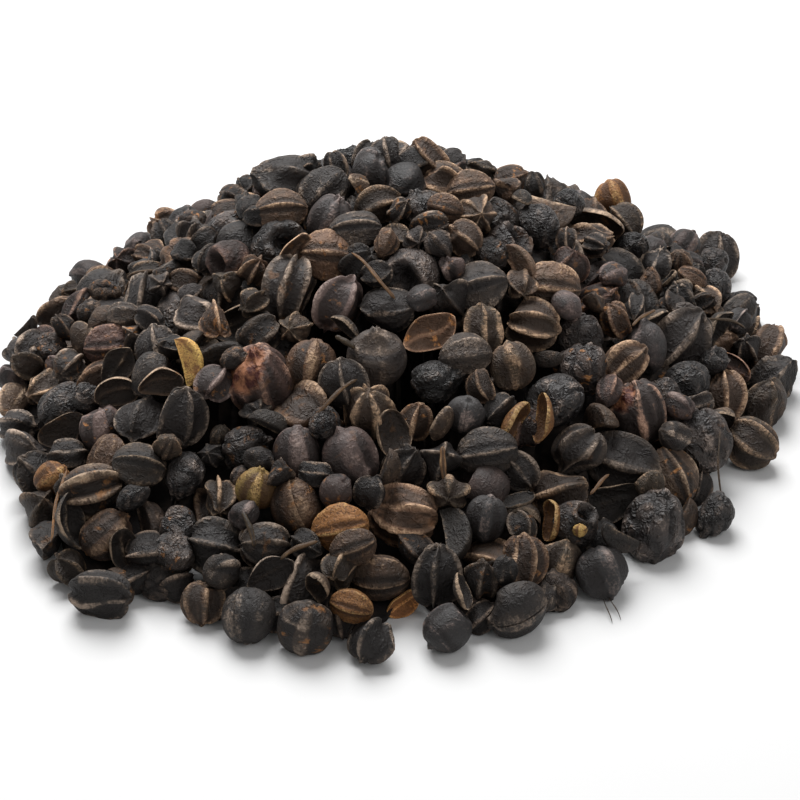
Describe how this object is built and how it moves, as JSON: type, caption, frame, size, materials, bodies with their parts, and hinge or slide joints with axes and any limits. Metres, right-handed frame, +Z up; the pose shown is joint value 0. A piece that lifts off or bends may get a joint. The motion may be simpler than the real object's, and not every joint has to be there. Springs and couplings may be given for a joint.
{
  "type": "loose heap of dried berries",
  "caption": "Loose, low heap of small dried dark berries lying on a flat surface, with a slightly off-centre peak and an uneven round rim.",
  "frame": {"origin": "on the surface the heap lies on, under the middle of its outline's box", "axes": "+Z up; -Y towards the side that faces the viewer, where the slope from the peak is longest; +X to that viewer's right"},
  "size_m": [0.1248, 0.126, 0.036],
  "materials": {
    "berry_skin": "matt, dry and wrinkled, brownish black",
    "brown_skin": "matt, dry, dark brown with paler ribs",
    "open_husk": "matt, tan to orange brown, papery",
    "stalk": "matt, thin, dark brown"
  },
  "bodies": {
    "root": {"berry_heap": "berry_skin"}
  },
  "joints": []
}
